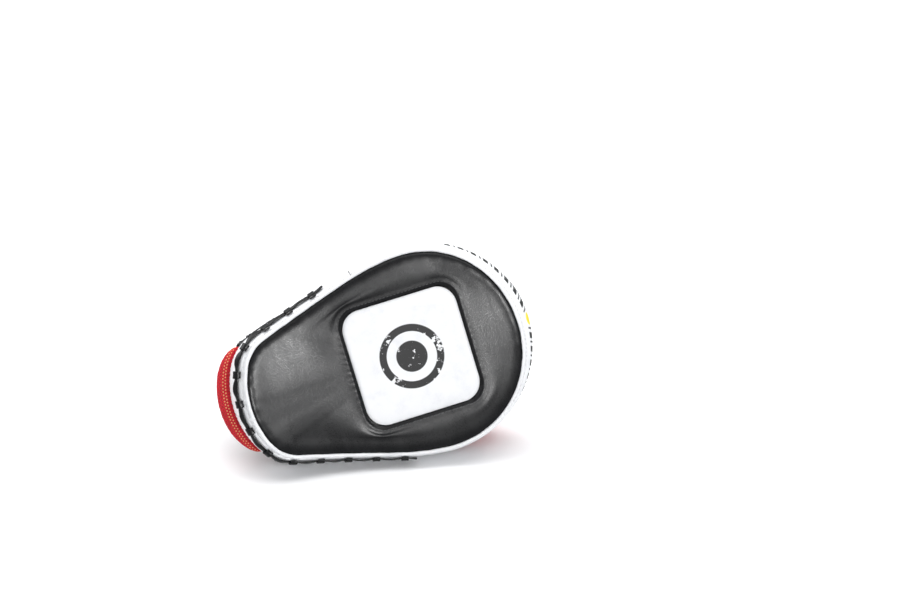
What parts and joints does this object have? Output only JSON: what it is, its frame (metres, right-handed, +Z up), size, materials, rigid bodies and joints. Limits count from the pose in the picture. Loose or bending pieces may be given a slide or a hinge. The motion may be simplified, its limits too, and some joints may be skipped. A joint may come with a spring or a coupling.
{
  "type": "boxing focus mitt",
  "caption": "Curved padded focus mitt with an inset white target patch, a laced white side band, a mesh-sided hand pocket, a wrist cushion and an opening wrist strap.",
  "frame": {"origin": "centre of the bounding box's base, on the floor the mitt rests on", "axes": "+Z up; +X from the wrist end towards the finger end; the strike face looks towards -Y and leans back, and the hand pocket is on +Y"},
  "size_m": [0.3082, 0.1475, 0.2014],
  "materials": {
    "black_leather": "satin",
    "white_leather": "satin",
    "red_mesh": "matte",
    "foam": "matte",
    "lining": "matte",
    "lace_leather": "satin",
    "hook_tape": "matte",
    "tab_rubber": "matte",
    "nickel": "polished"
  },
  "bodies": {
    "mitt": {"face_panel": "black_leather", "pocket_centre_panel": "black_leather", "pocket_mouth_binding": "black_leather", "palm_grip_cover": "black_leather", "strap_root": "black_leather", "target_patch": "white_leather", "band_finger_half": "white_leather", "band_wrist_half": "white_leather", "front_piping": "white_leather", "pocket_mesh_upper": "red_mesh", "pocket_mesh_lower": "red_mesh", "wrist_cushion_cover": "red_mesh", "front_foam": "foam", "core_foam": "foam", "rear_foam": "foam", "palm_grip_foam": "foam", "wrist_cushion_foam": "foam", "back_panel": "lining", "pocket_padding": "lining", "wrist_lace": "lace_leather", "lace_keeper_01": "lace_leather", "lace_keeper_02": "lace_leather", "lace_keeper_03": "lace_leather", "lace_keeper_04": "lace_leather", "lace_keeper_05": "lace_leather", "lace_keeper_06": "lace_leather", "lace_keeper_07": "lace_leather", "lace_keeper_08": "lace_leather", "lace_keeper_09": "lace_leather", "lace_keeper_10": "lace_leather", "lace_keeper_11": "lace_leather", "lace_keeper_12": "lace_leather", "lace_keeper_13": "lace_leather", "loop_pad": "hook_tape", "strap_rivet_wrist": "nickel", "strap_rivet_finger": "nickel"},
    "strap_lower": {"strap_lower": "black_leather"},
    "strap_upper": {"strap_upper": "black_leather"},
    "strap_tip": {"strap_tip": "black_leather", "hook_pad": "hook_tape", "strap_pull_tab": "tab_rubber"}
  },
  "joints": [
    {"name": "strap_open", "type": "hinge", "parent": "mitt", "child": "strap_lower", "pos_m": [-0.1109, 0.03179, 0.10678], "axis": [0.8454, 0.3984, 0.3558], "range_deg": [0, 55]},
    {"name": "strap_curl", "type": "hinge", "parent": "strap_lower", "child": "strap_upper", "pos_m": [-0.11594, 0.05724, 0.08719], "axis": [0.8718, 0.3956, 0.289], "range_deg": [0, 40]},
    {"name": "strap_peel", "type": "hinge", "parent": "strap_upper", "child": "strap_tip", "pos_m": [-0.09966, 0.0364, 0.02991], "axis": [0.9368, 0.3373, 0.093], "range_deg": [0, 30]}
  ],
  "couplings": [
    {"joint": "strap_curl", "follows": "strap_open", "ratio": 0.7},
    {"joint": "strap_peel", "follows": "strap_open", "ratio": 0.5}
  ]
}
